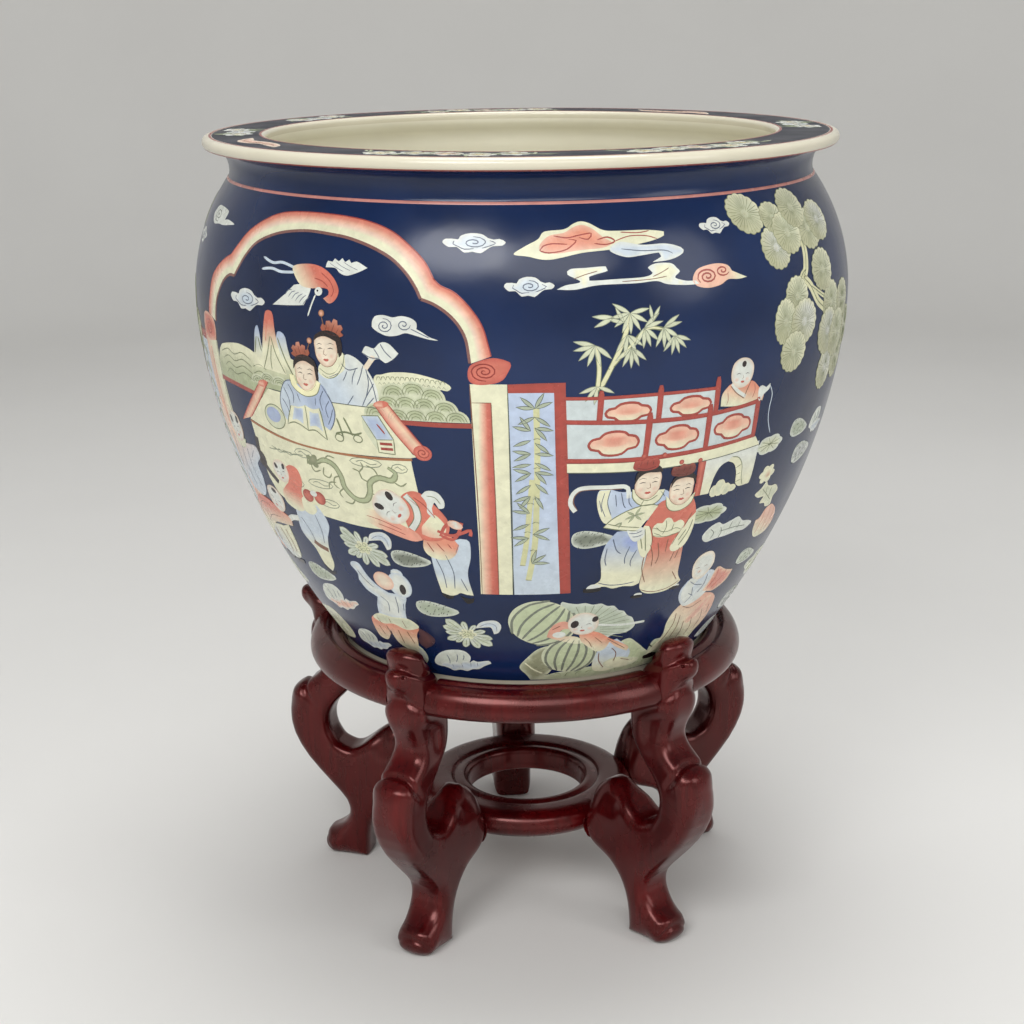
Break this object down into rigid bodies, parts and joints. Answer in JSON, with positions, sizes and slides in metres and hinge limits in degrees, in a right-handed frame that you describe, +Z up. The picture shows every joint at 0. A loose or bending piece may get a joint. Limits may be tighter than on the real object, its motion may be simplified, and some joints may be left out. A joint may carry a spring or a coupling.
{
  "type": "jardiniere on stand",
  "caption": "Round glazed porcelain jardiniere with a wide flat rim, resting loose on a carved hardwood stand with curved scroll legs, ring rails and a turned stretcher.",
  "frame": {"origin": "on the floor, on the common axis of the bowl and the stand", "axes": "+Z up along the axis of the bowl; -Y is the front, with a leg on each side of it and one leg pointing to +Y"},
  "size_m": [0.506, 0.506, 0.6245],
  "materials": {
    "porcelain": "glossy dark blue glaze over porcelain, painted with coloured enamels, cream inside and on the rim bead",
    "rosewood": "dark red-brown lacquered hardwood, glossy",
    "dowel_wood": "plain hardwood dowel"
  },
  "bodies": {
    "stand": {"seat_board": "rosewood", "stretcher_ring": "rosewood", "leg_1": "rosewood", "hook_dowel_1": "dowel_wood", "rail_dowel_1a": "dowel_wood", "rail_dowel_1b": "dowel_wood", "rail_1": "rosewood", "leg_2": "rosewood", "hook_dowel_2": "dowel_wood", "rail_dowel_2a": "dowel_wood", "rail_dowel_2b": "dowel_wood", "rail_2": "rosewood", "leg_3": "rosewood", "hook_dowel_3": "dowel_wood", "rail_dowel_3a": "dowel_wood", "rail_dowel_3b": "dowel_wood", "rail_3": "rosewood", "leg_4": "rosewood", "hook_dowel_4": "dowel_wood", "rail_dowel_4a": "dowel_wood", "rail_dowel_4b": "dowel_wood", "rail_4": "rosewood", "leg_5": "rosewood", "hook_dowel_5": "dowel_wood", "rail_dowel_5a": "dowel_wood", "rail_dowel_5b": "dowel_wood", "rail_5": "rosewood"},
    "bowl": {"bowl": "porcelain"}
  },
  "joints": [
    {"name": "bowl_lift", "type": "slide", "parent": "stand", "child": "bowl", "axis": [0, 0, 1], "range_m": [0, 0.2]}
  ]
}
